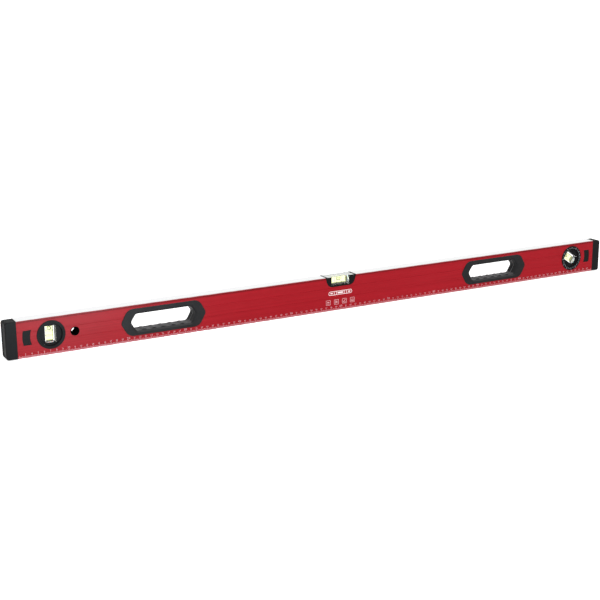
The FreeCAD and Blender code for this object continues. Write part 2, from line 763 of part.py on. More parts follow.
def make_saddle():
    """The black housing that fills the notch and holds the centre vial."""
    body = new_body("centre_vial_housing")
    seat_half = "top_block_length / 2"
    face = f"{HALF_DEPTH} - saddle_recess"
    top = "level_height - saddle_recess"
    slope = "(notch_top - notch_bottom) / (level_height - notch_floor) / 2"
    shoulder = f"notch_top / 2 - saddle_recess * {slope}"
    front_view(body, "Pad", "filling", lambda it: draw_outline(it, [
        ("-notch_bottom / 2", "notch_floor"), ("notch_bottom / 2", "notch_floor"),
        (shoulder, top), (f"-({shoulder})", top)]), face, f"-({face})")
    dress(body, "Fillet", "corners", "notch_corner", at_notch_corner)
    front_view(body, "Pad", "root",
               lambda it: draw_rectangle(it, "-saddle_root_half", "saddle_root_low",
                                         "saddle_root_half", "notch_floor"),
               f"{HALF_DEPTH} - side_wall", f"side_wall - {HALF_DEPTH}")
    front_view(body, "Pocket", "seat",
               lambda it: draw_rectangle(it, f"-{seat_half}", "saddle_seat", seat_half,
                                         f"{top} + cut_margin"),
               "top_block_depth / 2", "-top_block_depth / 2")
    front_view(body, "Pocket", "window",
               lambda it: draw_rectangle(it, f"-{seat_half}", "saddle_seat + saddle_lip", seat_half,
                                         f"{top} + cut_margin"),
               PAST_FRONT, PAST_BACK)
    front_view(body, "Pocket", "pilots", lambda it: draw_saddle_holes(it, "screw_radius"),
               f"screw_length - {HALF_DEPTH} - head_height + push_fit", PAST_BACK)


def make_reflector():
    """The bright strip under the centre vial that throws light up through it."""
    body = new_body("centre_vial_reflector")
    front_view(body, "Pad", "strip",
               lambda it: draw_rectangle(it, "-top_block_length / 2", "saddle_seat",
                                         "top_block_length / 2", "saddle_seat + reflector"),
               "top_block_depth / 2", "-top_block_depth / 2")


# ---------------------------------------------------------------- screws

def slot_bar(name, along_x):
    """One bar of the cross slot in a screw's head."""
    bar = doc.addObject("Part::Box", name)
    sizes = ("head_radius", "slot_width") if along_x else ("slot_width", "head_radius")
    for prop, coordinate, size in zip(("Length", "Height"), "xz", sizes):
        bind(bar, prop, size)
        bind(bar, f"Placement.Base.{coordinate}", f"-{size} / 2")
    bind(bar, "Width", "slot_depth")
    return bar


def make_screw(name, head_back, x, z):
    """One screw that goes in from the back; head_back is where the top of its head lies."""
    shank = doc.addObject("Part::Cylinder", f"{name}_shank")
    bind(shank, "Radius", "screw_radius")
    bind(shank, "Height", "screw_length")
    head = doc.addObject("Part::Cylinder", f"{name}_head")
    bind(head, "Radius", "head_radius")
    bind(head, "Height", "head_height")
    for item in (shank, head):
        item.Placement = Placement(Vector(), Rotation(ALONG, 90))
    solid = doc.addObject("Part::MultiFuse", f"{name}_solid")
    solid.Shapes = [shank, head]
    cross = doc.addObject("Part::MultiFuse", f"{name}_cross")
    cross.Shapes = [slot_bar(f"{name}_bar", along_x) for along_x in (True, False)]
    bind(cross, "Placement.Base.y", "-slot_depth")
    screw = doc.addObject("Part::Cut", name)
    screw.Base = solid
    screw.Tool = cross
    bind(screw, "Placement.Base.x", x)
    bind(screw, "Placement.Base.y", head_back)
    bind(screw, "Placement.Base.z", z)
    return screw


def make_screws(name, head_back, places, site=None):
    """A group of equal screws; a place is an (x, z) pair of formulas."""
    screws = doc.addObject("Part::Compound", name)
    screws.Label = name
    screws.Links = [make_screw(f"{name}_each", head_back, x, z) for x, z in places]
    if site:
        site.place(screws)


def make_all_screws():
    across_boss = [("0", "-boss_place"), ("0", "boss_place")]
    make_screws("plumb_vial_screws", "dish_floor", across_boss, PLUMB)
    make_screws("turning_vial_screws", "dish_floor", across_boss, TURNING)
    make_screws("centre_vial_screws", f"{HALF_DEPTH} + head_height",
                [(f"{side} * saddle_screw_place", "saddle_screw_height") for side in (-1, 1)])


# ---------------------------------------------------------------- the whole level

def make_level():
    make_frame_profile()
    for side, hand in ((-1, "left"), (1, "right")):
        make_end_cap(f"{hand}_end_cap", side)
        for facing_back, face in ((False, "front"), (True, "rear")):
            make_grip_liner(f"{hand}_grip_{face}_liner", side, facing_back)
    for facing_back, face in ((False, "front"), (True, "rear")):
        make_hang_bush(f"hang_hole_{face}_bush", facing_back)
        make_plumb_shell(f"plumb_vial_{face}_shell", facing_back)
        make_turning_ring(f"turning_vial_{face}_ring", facing_back)
        make_rotor_shell(f"turning_vial_{face}_rotor", facing_back)
    for vial in (end_vial("plumb_vial", PLUMB, "plumb_tube_half", "plumb_tube_middle"),
                 end_vial("turning_vial", TURNING, "turn_tube_half", "turn_tube_middle"), top_vial()):
        make_vial(vial)
    make_saddle()
    make_reflector()
    make_all_screws()


def subparts():
    """The pieces themselves: objects that no other object is built from."""
    bodies = [item for item in doc.Objects if item.TypeId == "PartDesign::Body"]
    groups = [item for item in doc.Objects if item.TypeId == "Part::Compound"]
    return bodies + groups


def export_level():
    doc.recompute()
    failed = [item.Name for item in doc.Objects if {"Invalid", "Error"} & set(item.State)]
    if failed:
        raise RuntimeError(f"these objects failed: {failed}")
    os.makedirs("parts", exist_ok=True)
    for item in subparts():
        if item.Shape.isNull() or not item.Shape.isValid():
            raise RuntimeError(f"{item.Label} has no valid shape")
        item.Shape.exportStep(f"parts/{item.Label}.step")
        print(f"{item.Label}: {len(item.Shape.Solids)} solid(s), {item.Shape.Volume:.1f} mm3")


make_level()
export_level()
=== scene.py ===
import json
import math

import bmesh
import bpy
from mathutils import Matrix, Vector


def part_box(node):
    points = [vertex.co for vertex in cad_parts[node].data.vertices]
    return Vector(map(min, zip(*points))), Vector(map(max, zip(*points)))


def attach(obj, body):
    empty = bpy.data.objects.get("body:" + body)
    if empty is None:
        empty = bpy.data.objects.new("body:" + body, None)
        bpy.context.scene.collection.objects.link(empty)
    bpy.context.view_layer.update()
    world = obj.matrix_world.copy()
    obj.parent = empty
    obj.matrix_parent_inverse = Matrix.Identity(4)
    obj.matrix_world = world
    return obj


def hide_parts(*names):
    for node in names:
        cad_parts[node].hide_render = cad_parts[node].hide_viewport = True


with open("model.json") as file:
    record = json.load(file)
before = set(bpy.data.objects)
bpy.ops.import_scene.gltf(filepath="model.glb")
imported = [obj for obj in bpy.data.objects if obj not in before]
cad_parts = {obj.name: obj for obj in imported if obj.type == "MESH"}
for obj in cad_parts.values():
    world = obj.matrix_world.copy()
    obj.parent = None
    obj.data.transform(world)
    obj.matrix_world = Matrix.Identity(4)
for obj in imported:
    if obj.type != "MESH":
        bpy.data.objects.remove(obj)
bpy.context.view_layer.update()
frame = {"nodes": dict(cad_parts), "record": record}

MM = 0.001
NODES = frame["nodes"]


# ---------------------------------------------------------------- places, read from the frame

def middle_of(node):
    low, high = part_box(node)
    return (low + high) / 2


FACE_Y = -0.012  # the front of the painted frame
RIM_FRONT = -0.013  # the front of the vial holders' rims
TURN_TILT = math.radians(34)
UPRIGHT = Matrix.Rotation(math.radians(90), 4, "Y")
PLUMB_SITE = Matrix.Translation(middle_of("plumb_vial_block")) @ UPRIGHT
TURN_CENTRE = middle_of("turning_vial_front_ring")
TURN_CENTRE.y = 0
TURN_SITE = Matrix.Translation(TURN_CENTRE) @ Matrix.Rotation(TURN_TILT, 4, "Y")
TOP_SITE = Matrix.Translation(middle_of("centre_vial_block"))


# ---------------------------------------------------------------- camera, stage and light

CAMERA_PLACE = (-1.0673, -1.7983, 0.5681)
CAMERA_YAW_PITCH_ROLL = (28.862, -14.799, -0.407)
CAMERA_LENS = 72.92


def make_camera():
    """The camera, to the left of the object and above it; the angles are in degrees."""
    data = bpy.data.cameras.new("camera")
    data.lens = CAMERA_LENS
    data.sensor_width = 36
    data.clip_end = 500
    camera = bpy.data.objects.new("camera", data)
    bpy.context.scene.collection.objects.link(camera)
    yaw, pitch, roll = (math.radians(a) for a in CAMERA_YAW_PITCH_ROLL)
    ahead = Vector((math.sin(yaw) * math.cos(pitch), math.cos(yaw) * math.cos(pitch), math.sin(pitch)))
    right = ahead.cross(Vector((0, 0, 1))).normalized()
    up = right.cross(ahead)
    across = right * math.cos(roll) + up * math.sin(roll)
    upward = up * math.cos(roll) - right * math.sin(roll)
    turned = Matrix((across, upward, -ahead)).transposed().to_4x4()
    camera.matrix_world = Matrix.Translation(CAMERA_PLACE) @ turned
    bpy.context.scene.camera = camera


def make_light(name, kind, energy, place, target, **settings):
    """A light at a place, aimed at a target."""
    data = bpy.data.lights.new(name, kind)
    data.energy = energy
    for key, setting in settings.items():
        setattr(data, key, setting)
    light = bpy.data.objects.new(name, data)
    bpy.context.scene.collection.objects.link(light)
    aim = Vector(target) - Vector(place)
    turned = aim.to_track_quat("-Z", "Y").to_matrix().to_4x4()
    light.matrix_world = Matrix.Translation(place) @ turned
    return light


FLOOR_HALF = 150.0
FLOOR_DROP = 0.00005
WORLD_LOW, WORLD_HIGH = 0.38, 1.27


def make_floor():
    """A pale paper floor just under the object."""
    mesh = bpy.data.meshes.new("floor")
    half = FLOOR_HALF
    corners = [(-half, -half, 0), (half, -half, 0), (half, half, 0), (-half, half, 0)]
    mesh.from_pydata(corners, [], [(0, 1, 2, 3)])
    floor = bpy.data.objects.new("floor", mesh)
    bpy.context.scene.collection.objects.link(floor)
    floor.location.z = -FLOOR_DROP
    paper = Shade("floor_paper")
    grain = paper.noise(paper.stretched(1, 1, 1), 40, detail=3)
    paper.set("Base Color", paper.blend(grain, (0.80, 0.80, 0.80), (0.82, 0.82, 0.82)))
    paper.value("Roughness", 0.9)
    paper.value("Emission Color", (1, 1, 1, 1))
    paper.value("Emission Strength", 0.62)
    mesh.materials.append(paper.material)


def make_world():
    """Soft surroundings: brighter behind the object than behind the camera."""
    world = bpy.data.worlds.new("studio")
    bpy.context.scene.world = world
    world.use_nodes = True
    tree = world.node_tree
    tree.nodes.clear()
    way = tree.nodes.new("ShaderNodeTexCoord")
    split = tree.nodes.new("ShaderNodeSeparateXYZ")
    spread = tree.nodes.new("ShaderNodeMapRange")
    spread.interpolation_type = "SMOOTHSTEP"
    spread.inputs["From Min"].default_value = -0.7
    spread.inputs["From Max"].default_value = 0.5
    spread.inputs["To Min"].default_value = WORLD_LOW
    spread.inputs["To Max"].default_value = WORLD_HIGH
    background = tree.nodes.new("ShaderNodeBackground")
    output = tree.nodes.new("ShaderNodeOutputWorld")
    tree.links.new(way.outputs["Generated"], split.inputs[0])
    tree.links.new(split.outputs["Y"], spread.inputs["Value"])
    tree.links.new(spread.outputs[0], background.inputs["Strength"])
    tree.links.new(background.outputs[0], output.inputs["Surface"])


def make_lights():
    """A soft key, a low fill, and a card that only shows as glare, at the left end."""
    make_light("key", "SUN", 1.5, (-1.5, -3.0, 4.0), (0, 0, 0), angle=math.radians(35))
    card = make_light("left_card", "AREA", 4.2, (-0.42, -0.38, 0.075), (-0.47, 0, 0.0),
                      shape="RECTANGLE", size=0.24, size_y=0.12, color=(0.78, 0.92, 1.0))
    card.visible_camera = False
    card.visible_diffuse = False
    make_light("low_left", "AREA", 14, (-0.2, -2.6, 0.35), (-0.3, 0, 0.03),
               shape="RECTANGLE", size=1.6, size_y=0.5)
    bpy.context.scene.view_settings.view_transform = "Standard"


# ---------------------------------------------------------------- material building

class Shade:
    """A Principled material whose inputs are fed by procedural textures in object space."""

    def __init__(self, name):
        self.material = bpy.data.materials.new(name)
        self.material.use_nodes = True
        self.tree = self.material.node_tree
        self.shader = self.tree.nodes["Principled BSDF"]
        self.place = self.add("ShaderNodeTexCoord").outputs["Object"]

    def add(self, kind, **settings):
        node = self.tree.nodes.new(kind)
        for key, setting in settings.items():
            setattr(node, key, setting)
        return node

    def feed(self, socket, source):
        """Link a socket to another socket, or set it to a number or colour."""
        if isinstance(source, bpy.types.NodeSocket):
            self.tree.links.new(source, socket)
        elif isinstance(source, tuple) and len(source) == 3 and socket.type == "RGBA":
            socket.default_value = (*source, 1)
        else:
            socket.default_value = source

    def value(self, name, number):
        self.shader.inputs[name].default_value = number

    def set(self, name, source):
        self.feed(self.shader.inputs[name], source)

    def stretched(self, x, y, z):
        node = self.add("ShaderNodeMapping")
        node.inputs["Scale"].default_value = (x, y, z)
        self.tree.links.new(self.place, node.inputs["Vector"])
        return node.outputs["Vector"]

    def noise(self, vector, scale, detail=4.0, roughness=0.55):
        node = self.add("ShaderNodeTexNoise")
        self.feed(node.inputs["Vector"], vector)
        node.inputs["Scale"].default_value = scale
        node.inputs["Detail"].default_value = detail
        node.inputs["Roughness"].default_value = roughness
        return node.outputs["Fac"]

    def cells(self, vector, scale):
        node = self.add("ShaderNodeTexVoronoi", feature="F1")
        self.feed(node.inputs["Vector"], vector)
        node.inputs["Scale"].default_value = scale
        return node.outputs["Distance"]

    def ramp(self, source, low, high, to_low=0.0, to_high=1.0):
        """A smooth step from to_low to to_high as the source goes from low to high."""
        node = self.add("ShaderNodeMapRange", interpolation_type="SMOOTHSTEP")
        self.feed(node.inputs["Value"], source)
        ends = {"From Min": low, "From Max": high, "To Min": to_low, "To Max": to_high}
        for name, number in ends.items():
            node.inputs[name].default_value = number
        return node.outputs["Result"]

    def blend(self, share, first, second):
        node = self.add("ShaderNodeMix", data_type="RGBA")
        self.feed(node.inputs[0], share)
        self.feed(node.inputs[6], first)
        self.feed(node.inputs[7], second)
        return node.outputs[2]

    def mix_numbers(self, share, first, second):
        node = self.add("ShaderNodeMix", data_type="FLOAT")
        self.feed(node.inputs[0], share)
        self.feed(node.inputs[2], first)
        self.feed(node.inputs[3], second)
        return node.outputs[0]

    def maths(self, operation, first, second=0.0):
        node = self.add("ShaderNodeMath", operation=operation)
        self.feed(node.inputs[0], first)
        self.feed(node.inputs[1], second)
        return node.outputs[0]

    def axis(self, vector, name):
        node = self.add("ShaderNodeSeparateXYZ")
        self.feed(node.inputs[0], vector)
        return node.outputs[name]

    def normal_axis(self, name):
        return self.axis(self.add("ShaderNodeNewGeometry").outputs["Normal"], name)

    def bump(self, height, strength, distance, under=None):
        node = self.add("ShaderNodeBump")
        self.feed(node.inputs["Height"], height)
        node.inputs["Strength"].default_value = strength
        node.inputs["Distance"].default_value = distance
        if under is not None:
            self.feed(node.inputs["Normal"], under)
        return node.outputs["Normal"]


LOW_STRIP = (0.0007, 0.0010)  # the coat starts at this height
HIGH_STRIP = (0.0613, 0.0616)  # and ends at this one
EDGE_SHADE_START = (0.0577, 0.0590)  # a darker line in the coat under its upper end
EDGE_SHADE_END = (0.0600, 0.0610)
LOW_FACE = (0.010, 0.012)  # faces below or above these heights that lie flat are milled
HIGH_FACE = (0.060, 0.061)
COAT_EDGE_WANDER = 0.0006


def painted_frame():
    """Red coat on extruded aluminium, with bare milled working faces above and below."""
    m = Shade("red_coat_and_bare_metal")
    height = m.axis(m.place, "Z")
    upright = m.maths("ABSOLUTE", m.normal_axis("Z"))
    edge = m.noise(m.stretched(60, 60, 60), 1.0, detail=2)
    wander = m.maths("MULTIPLY", m.maths("SUBTRACT", edge, 0.5), COAT_EDGE_WANDER)
    level = m.maths("ADD", height, wander)
    low_strip = m.ramp(level, *LOW_STRIP, 1, 0)
    high_strip = m.ramp(level, *HIGH_STRIP)
    outermost = m.maths("ADD", m.ramp(height, *LOW_FACE, 1, 0), m.ramp(height, *HIGH_FACE))
    milled = m.maths("MULTIPLY", m.ramp(upright, 0.85, 0.95), outermost)
    strips = m.maths("ADD", low_strip, high_strip)
    bare = m.maths("MINIMUM", m.maths("ADD", strips, milled), 1.0)

    streaks = m.noise(m.stretched(2.5, 900, 900), 1.0, detail=5, roughness=0.65)
    fine_streaks = m.noise(m.stretched(14, 5000, 5000), 1.0, detail=2)
    clouds = m.noise(m.stretched(9, 9, 9), 1.0, detail=3)
    skin = m.noise(m.stretched(1, 1, 1), 2600, detail=2)
    deep_red = (0.265, 0.0032, 0.0085)
    full_red = (0.320, 0.0050, 0.0120)
    light_red = (0.335, 0.0070, 0.0150)
    shaded_red = (0.045, 0.004, 0.006)
    red = m.blend(m.ramp(streaks, 0.35, 0.68), deep_red, full_red)
    red = m.blend(m.ramp(clouds, 0.3, 0.7, 0, 0.35), red, light_red)
    shade_line = m.maths("MULTIPLY", m.ramp(level, *EDGE_SHADE_START, 0, 0.55),
                         m.ramp(level, *EDGE_SHADE_END, 1, 0))
    red = m.blend(shade_line, red, shaded_red)
    mill = m.noise(m.stretched(30, 2600, 30), 1.0, detail=4, roughness=0.7)
    silver = m.blend(m.ramp(mill, 0.3, 0.7), (0.86, 0.865, 0.87), (0.97, 0.97, 0.97))
    m.set("Base Color", m.blend(bare, red, silver))
    m.set("Metallic", bare)
    m.value("Specular IOR Level", 0.09)
    rough_red = m.ramp(streaks, 0.3, 0.7, 0.36, 0.46)
    rough_bare = m.ramp(mill, 0.3, 0.7, 0.26, 0.42)
    m.set("Roughness", m.mix_numbers(bare, rough_red, rough_bare))
    coat_bump = m.bump(skin, 0.10, 0.00004, m.bump(fine_streaks, 0.12, 0.00005))
    bare_bump = m.bump(mill, 0.25, 0.00005)
    normal = m.add("ShaderNodeMix", data_type="VECTOR")
    for index, source in ((0, bare), (4, coat_bump), (5, bare_bump)):
        m.feed(normal.inputs[index], source)
    m.set("Normal", normal.outputs[1])
    return m.material


def black_plastic(name, tone, roughness, grain, grain_depth, specular, wear=0.03,
                  painted_top_reflection=None, seam_and_lit_top=None):
    """Moulded black plastic with a spark-eroded grain and faint rub marks.

    painted_top_reflection is the height of an upper face painted pale, a painted reflection of
    the bright surroundings, and how far it reaches to either side. seam_and_lit_top is the half
    width of a lighter parting line in the middle of the depth of a piece that hands rub; with it,
    faces that turn up are painted lighter as well, painted light from above.
    """
    m = Shade(name)
    bumps = m.cells(m.stretched(1, 1, 1), grain)
    soft = m.noise(m.stretched(1, 1, 1), grain * 0.5, detail=3)
    patches = m.noise(m.stretched(1, 1, 1), 55, detail=3)
    rubs = m.noise(m.stretched(90, 90, 700), 1.0, detail=3)
    dark = (tone, tone, tone * 1.06)
    pale = (tone + wear, tone + wear, tone + wear)
    base = m.blend(m.ramp(patches, 0.3, 0.75, 0, 0.5), dark, (tone * 1.5, tone * 1.5, tone * 1.6))
    worn = m.blend(m.ramp(rubs, 0.66, 0.80, 0, 0.6), base, pale)
    # painted reflection: faces that turn up above a height are painted pale, standing in for the bright
    # surroundings mirrored in a glossy top
    if painted_top_reflection:
        above, reach = painted_top_reflection
        high = m.ramp(m.axis(m.place, "Z"), above - 0.0003, above)
        inside = m.ramp(m.maths("ABSOLUTE", m.axis(m.place, "X")), reach - 0.0004, reach, 1, 0)
        facing_up = m.ramp(m.normal_axis("Z"), 0.80, 0.95)
        reflection_white = m.blend(patches, (0.60, 0.62, 0.60), (0.72, 0.74, 0.72))
        on_reflecting_top = m.maths("MULTIPLY", m.maths("MULTIPLY", high, inside), facing_up)
        worn = m.blend(on_reflecting_top, worn, reflection_white)
    # a lighter parting line, and painted light: faces that turn up are painted lighter grey, as if lit
    # from above
    if seam_and_lit_top:
        parting = m.ramp(m.maths("ABSOLUTE", m.axis(m.place, "Y")), seam_and_lit_top * 0.6, seam_and_lit_top, 0.8, 0)
        lit_from_above = m.ramp(m.normal_axis("Z"), 0.5, 0.95, 0, 0.45)
        seam_and_lit_top_grey = (0.17, 0.165, 0.17)
        worn = m.blend(m.maths("MAXIMUM", parting, lit_from_above), worn, seam_and_lit_top_grey)
    # the base colour holds the rub marks, and also the painted reflection and painted light above
    m.set("Base Color", worn)
    m.set("Roughness", m.ramp(patches, 0.3, 0.7, roughness - 0.05, roughness + 0.06))
    m.value("Specular IOR Level", specular)
    m.set("Normal", m.bump(bumps, grain_depth, 0.00008, m.bump(soft, grain_depth, 0.00006)))
    return m.material


def clear_acrylic(name, top_haze):
    """Cast acrylic with a faint green tint and fine polishing marks.

    top_haze is the share of light that faces turned upwards don't let through.
    """
    m = Shade(name)
    haze = m.noise(m.stretched(1, 1, 1), 900, detail=2)
    m.set("Base Color", m.blend(haze, (0.955, 0.985, 0.945), (0.975, 0.995, 0.965)))
    if top_haze:
        m.set("Transmission Weight", m.ramp(m.normal_axis("Z"), 0.80, 0.95, 1.0, 1.0 - top_haze))
    else:
        m.value("Transmission Weight", 1.0)
    m.value("IOR", 1.49)
    m.set("Roughness", m.ramp(haze, 0.3, 0.7, 0.015, 0.05))
    scratches = m.noise(m.stretched(300, 300, 4000), 1.0, detail=2)
    m.set("Normal", m.bump(scratches, 0.03, 0.00002))
    return m.material


GLOW_STRENGTH = 0.16


def inner_glass(name, tint, deep_tint, index, glow):
    """The face between two clear fills: index is the inner one's over the outer one's.

    glow is the colour of a painted glow that stands in for the light a fluorescent liquid gives back,
    or None.
    """
    m = Shade(name)
    m.tree.nodes.remove(m.shader)
    swirl = m.noise(m.stretched(1, 1, 1), 160, detail=2)
    glass = m.add("ShaderNodeBsdfGlass")
    m.feed(glass.inputs["Color"], m.blend(m.ramp(swirl, 0.35, 0.65), tint, deep_tint))
    glass.inputs["Roughness"].default_value = 0.0
    glass.inputs["IOR"].default_value = index
    output = m.tree.nodes["Material Output"]
    # painted glow: an emission that shines without any lamp
    if glow:
        light = m.add("ShaderNodeEmission")
        m.feed(light.inputs["Color"], m.blend(swirl, glow, deep_tint))
        light.inputs["Strength"].default_value = GLOW_STRENGTH
        both = m.add("ShaderNodeAddShader")
        m.tree.links.new(glass.outputs[0], both.inputs[0])
        m.tree.links.new(light.outputs[0], both.inputs[1])
        m.tree.links.new(both.outputs[0], output.inputs["Surface"])
    else:
        m.tree.links.new(glass.outputs[0], output.inputs["Surface"])
    return m.material


def milky_plastic():
    """Translucent white plastic; a faint glow stands in for the light that the block guides."""
    m = Shade("milky_stopper")
    cloud = m.noise(m.stretched(1, 1, 1), 420, detail=3)
    m.set("Base Color", m.blend(cloud, (0.84, 0.87, 0.80), (0.92, 0.94, 0.88)))
    m.value("Subsurface Weight", 0.25)
    m.value("Subsurface Scale", 0.002)
    m.value("Emission Color", (0.80, 0.86, 0.76, 1))
    m.value("Emission Strength", 0.30)
    m.set("Roughness", m.ramp(cloud, 0.3, 0.7, 0.3, 0.42))
    m.set("Normal", m.bump(cloud, 0.05, 0.00005))
    return m.material


def printed_ink(name, colour, worn):
    """Screen-printed ink: slightly uneven and thin at its worn spots."""
    m = Shade(name)
    mottling = m.noise(m.stretched(1, 1, 1), 1400, detail=3)
    wear = m.noise(m.stretched(70, 70, 260), 1.0, detail=4)
    uneven = m.blend(mottling, colour, tuple(c * 0.92 for c in colour))
    m.set("Base Color", m.blend(m.ramp(wear, 0.56, 0.78, 0, 0.7), uneven, worn))
    m.set("Roughness", m.ramp(mottling, 0.3, 0.7, 0.42, 0.58))
    m.set("Normal", m.bump(mottling, 0.08, 0.00003))
    return m.material


def plated_steel():
    """Zinc-plated screws."""
    m = Shade("plated_steel")
    turnings = m.noise(m.stretched(1, 1, 1), 1500, detail=4)
    m.set("Base Color", m.blend(turnings, (0.55, 0.56, 0.57), (0.72, 0.72, 0.71)))
    m.value("Metallic", 1.0)
    m.set("Roughness", m.ramp(turnings, 0.3, 0.7, 0.24, 0.42))
    m.set("Normal", m.bump(turnings, 0.12, 0.00004))
    return m.material


def bright_strip():
    """The pale film behind the centre vial."""
    m = Shade("reflector_film")
    crinkle = m.noise(m.stretched(1, 1, 1), 700, detail=2)
    m.set("Base Color", m.blend(crinkle, (0.86, 0.88, 0.80), (0.93, 0.94, 0.90)))
    m.set("Roughness", m.ramp(crinkle, 0.3, 0.7, 0.45, 0.6))
    m.set("Normal", m.bump(crinkle, 0.1, 0.00005))
    return m.material


# ---------------------------------------------------------------- mesh building

def finished(name, mesh_maker, material, site=None, body="level", smooth_angle=35):
    """Turn a bmesh into a piece that rides on a body."""
    mesh_maker.normal_update()
    if site is not None:
        bmesh.ops.transform(mesh_maker, matrix=site, verts=mesh_maker.verts)
    bmesh.ops.recalc_face_normals(mesh_maker, faces=mesh_maker.faces)
    mesh = bpy.data.meshes.new(name)
    mesh_maker.to_mesh(mesh)
    mesh_maker.free()
    for face in mesh.polygons:
        face.use_smooth = True
    mesh.set_sharp_from_angle(angle=math.radians(smooth_angle))
    mesh.materials.append(material)
    piece = bpy.data.objects.new(name, mesh)
    bpy.context.scene.collection.objects.link(piece)
    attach(piece, body)
    return piece


def bevelled_box(maker, size, bevel, segments):
    """Add a box with rounded edges, centred on the origin."""
    made = bmesh.ops.create_cube(maker, size=1.0)
    for vert in made["verts"]:
        vert.co = Vector(tuple(c * s for c, s in zip(vert.co, size)))
    edges = {edge for vert in made["verts"] for edge in vert.link_edges}
    bmesh.ops.bevel(maker, geom=list(edges), offset=bevel, segments=segments, profile=0.5,
                    affect="EDGES")


def plain_slab(maker, low, high):
    """Add a thin closed slab from its lowest to its highest corner."""
    xs, ys, zs = zip(low, high)
    verts = [maker.verts.new((x, y, z)) for x in xs for y in ys for z in zs]
    sides = ((0, 1, 3, 2), (4, 6, 7, 5), (0, 4, 5, 1), (2, 3, 7, 6), (0, 2, 6, 4), (1, 5, 7, 3))
    for side in sides:
        maker.faces.new([verts[corner] for corner in side])


def lathe(maker, profile, segments=64, closed=False):
    """Turn a profile of (x, radius) points about the X axis. A closed profile makes a ring."""
    rings = []
    for x, radius in profile:
        if radius < 1e-9:
            rings.append([maker.verts.new((x, 0, 0))])
            continue
        turns = (2 * math.pi * k / segments for k in range(segments))
        rings.append([maker.verts.new((x, radius * math.cos(a), radius * math.sin(a)))
                      for a in turns])
    pairs = list(zip(rings, rings[1:]))
    if closed:
        pairs.append((rings[-1], rings[0]))
    for first, second in pairs:
        for k in range(segments):
            following = (k + 1) % segments
            corners = [first[k % len(first)], first[following % len(first)],
                       second[following % len(second)], second[k % len(second)]]
            unique = list(dict.fromkeys(corners))
            if len(unique) > 2:
                maker.faces.new(unique)


def arc(centre_x, centre_r, radius, start, end, steps):
    """Points of an arc in a profile; angles in degrees, from +X towards +radius."""
    angles = (math.radians(start + (end - start) * k / steps) for k in range(steps + 1))
    return [(centre_x + radius * math.cos(a), centre_r + radius * math.sin(a)) for a in angles]


# ---------------------------------------------------------------- vials

BARREL_CROWN = 0.00012  # how much a tube narrows towards its ends
FILL_CLEARANCE = 0.0001  # between a stopper and the liquid or the block's end
LINE_WIDTH = 0.0005
LINE_CLEARANCE = 0.0006  # between the bubble's ends and the reading lines


def vial_block(name, site, size, look, body):
    """The clear block that a vial's tube is bored in."""
    maker = bmesh.new()
    bevelled_box(maker, size, bevel=0.0005, segments=4)
    piece = finished(name + "_clear_block", maker, look, site, body)
    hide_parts(name + "_block")


def vial_liquid(name, site, middle, half, radius, crown, body):
    """A filling with rounded ends and a slight barrel shape."""
    steps = 24
    round_end = 0.0006
    side = [(-half + round_end + (2 * half - 2 * round_end) * k / steps) for k in range(steps + 1)]
    wall = [(x, radius - crown * (x / half) ** 2) for x in side]
    edge = wall[0][1]
    low = arc(-half + round_end, edge - round_end, round_end, 180, 90, 5)
    high = arc(half - round_end, edge - round_end, round_end, 90, 0, 5)
    profile = [(-half, 0)] + low + wall[1:-1] + high + [(half, 0)]
    maker = bmesh.new()
    lathe(maker, profile, segments=72)
    bmesh.ops.translate(maker, vec=(middle, 0, 0), verts=maker.verts)
    piece = finished(name + "_spirit", maker, SPIRIT, site, body, smooth_angle=60)
    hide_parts(name + "_liquid")


def vial_bubble(name, site, place, lift, half, radius, body):
    """A smooth bubble with round ends."""
    cap = min(half, radius) * 0.98  # leaves a short straight middle
    steps = 14
    left = [(-half + cap * (1 - math.cos(t)), radius * math.sin(t))
            for t in (math.pi / 2 * k / steps for k in range(1, steps + 1))]
    right = [(-x, r) for x, r in reversed(left)]
    maker = bmesh.new()
    lathe(maker, [(-half, 0)] + left + right + [(half, 0)], segments=48)
    bmesh.ops.translate(maker, vec=(place, 0, lift), verts=maker.verts)
    piece = finished(name + "_air_bubble", maker, AIR, site, body, smooth_angle=80)
    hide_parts(name + "_bubble")


def vial_stopper(name, site, start, end, radius, body):
    """A pressed-in stopper with a sealing lip, a groove and a blind pulling hole."""
    lip = 0.0003
    bore = 0.0012
    depth = (start + end) / 2
    dark_band_end = start + 6 * lip
    profile = [(start, 0), (start, radius - 2 * lip), (start + lip, radius - lip),
               (start + 3 * lip, radius - lip), (start + 4 * lip, radius - 3 * lip),
               (start + 5 * lip, radius - 3 * lip), (dark_band_end, radius - lip),
               (end - lip, radius - lip), (end, radius - 2 * lip), (end, bore + lip),
               (end - lip, bore), (depth, bore), (depth, 0)]
    maker = bmesh.new()
    lathe(maker, profile, segments=64)
    # painted shade: faces up to the end of the seal get a dark material, standing in for the dark
    # refraction band at the joint
    for face in maker.faces:
        if face.calc_center_median().x < dark_band_end:
            face.material_index = 1
    piece = finished(name + "_milky_stopper", maker, MILKY, site, body, smooth_angle=30)
    piece.data.materials.append(JOINT_SHADE)
    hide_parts(name + "_stopper")


def vial_lines(name, site, places, radius, width, body):
    """Reading lines: two printed bands around the tube."""
    maker = bmesh.new()
    inner, outer = radius + 0.00003, radius + 0.00016
    for place in places:
        lathe(maker, [(place - width / 2, inner), (place - width / 2, outer),
                      (place + width / 2, outer), (place + width / 2, inner)], segments=72, closed=True)
    piece = finished(name + "_reading_lines", maker, LINE_INK, site, body)
    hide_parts(name + "_lines")


